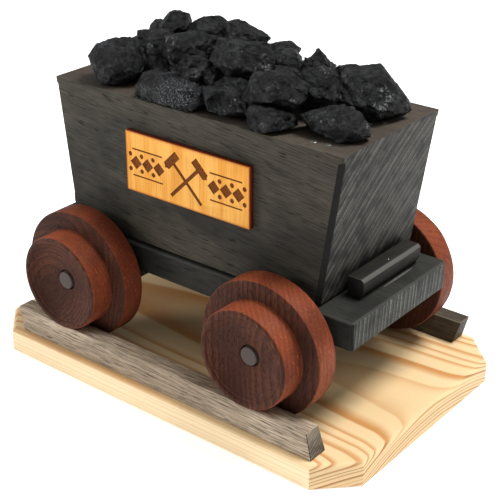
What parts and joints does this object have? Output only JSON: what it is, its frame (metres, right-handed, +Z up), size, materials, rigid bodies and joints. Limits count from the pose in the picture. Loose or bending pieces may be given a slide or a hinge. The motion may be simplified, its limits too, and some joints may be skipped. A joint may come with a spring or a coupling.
{
  "type": "wooden mine cart ornament on rails",
  "caption": "Small wooden mine cart with a heap of coal, flanged wheels that turn and roll along two rails on a board.",
  "frame": {"origin": "middle of the board's underside", "axes": "+X along the rails, towards the end drawn first in the source as the front; +Y across the rails to the right of the cart; +Z up"},
  "size_m": [0.25, 0.16, 0.1917],
  "materials": {
    "pine": "planed and sanded, unvarnished",
    "grey_oak": "grey stain, matte",
    "black_oak": "grey-black stain, matte",
    "red_hardwood": "turned, lightly oiled",
    "dowel": "stained end grain",
    "plywood": "laser-cut, browned edges",
    "coal": "broken coal, dark with small bright facets",
    "clear_glue": "clear hot glue",
    "steel": "zinc-plated wood screws"
  },
  "bodies": {
    "track": {"base_board": "pine", "left_rail": "grey_oak", "right_rail": "grey_oak", "rail_screws": "steel"},
    "cart": {"body_block": "black_oak", "chassis_plate": "black_oak", "front_coupling_bar": "black_oak", "rear_coupling_bar": "black_oak", "front_bearer": "black_oak", "rear_bearer": "black_oak", "plaque": "plywood", "body_screws": "steel", "bearer_screws": "steel", "glue_beads": "clear_glue", "coal_01": "coal", "coal_02": "coal", "coal_03": "coal", "coal_04": "coal", "coal_05": "coal", "coal_06": "coal", "coal_07": "coal", "coal_08": "coal", "coal_09": "coal", "coal_10": "coal", "coal_11": "coal", "coal_12": "coal", "coal_13": "coal", "coal_14": "coal", "coal_15": "coal", "coal_16": "coal", "coal_17": "coal", "coal_18": "coal", "coal_19": "coal", "coal_20": "coal", "coal_21": "coal", "coal_22": "coal", "coal_23": "coal", "coal_24": "coal", "coal_25": "coal", "coal_26": "coal", "coal_27": "coal", "coal_28": "coal", "coal_29": "coal"},
    "front_wheelset": {"front_axle": "dowel", "front_left_wheel": "red_hardwood", "front_right_wheel": "red_hardwood"},
    "rear_wheelset": {"rear_axle": "dowel", "rear_left_wheel": "red_hardwood", "rear_right_wheel": "red_hardwood"}
  },
  "joints": [
    {"name": "cart_roll", "type": "slide", "parent": "track", "child": "cart", "axis": [1, 0, 0], "range_m": [-0.03, 0.03]},
    {"name": "front_wheel_spin", "type": "hinge", "parent": "cart", "child": "front_wheelset", "pos_m": [0.0622, 0, 0.0551], "axis": [0, 1, 0], "range_deg": [-65, 65]},
    {"name": "rear_wheel_spin", "type": "hinge", "parent": "cart", "child": "rear_wheelset", "pos_m": [-0.0664, 0, 0.0551], "axis": [0, 1, 0], "range_deg": [-65, 65]}
  ],
  "couplings": [
    {"joint": "front_wheel_spin", "follows": "cart_roll", "rad_per_m": 37.037},
    {"joint": "rear_wheel_spin", "follows": "cart_roll", "rad_per_m": 37.037}
  ]
}
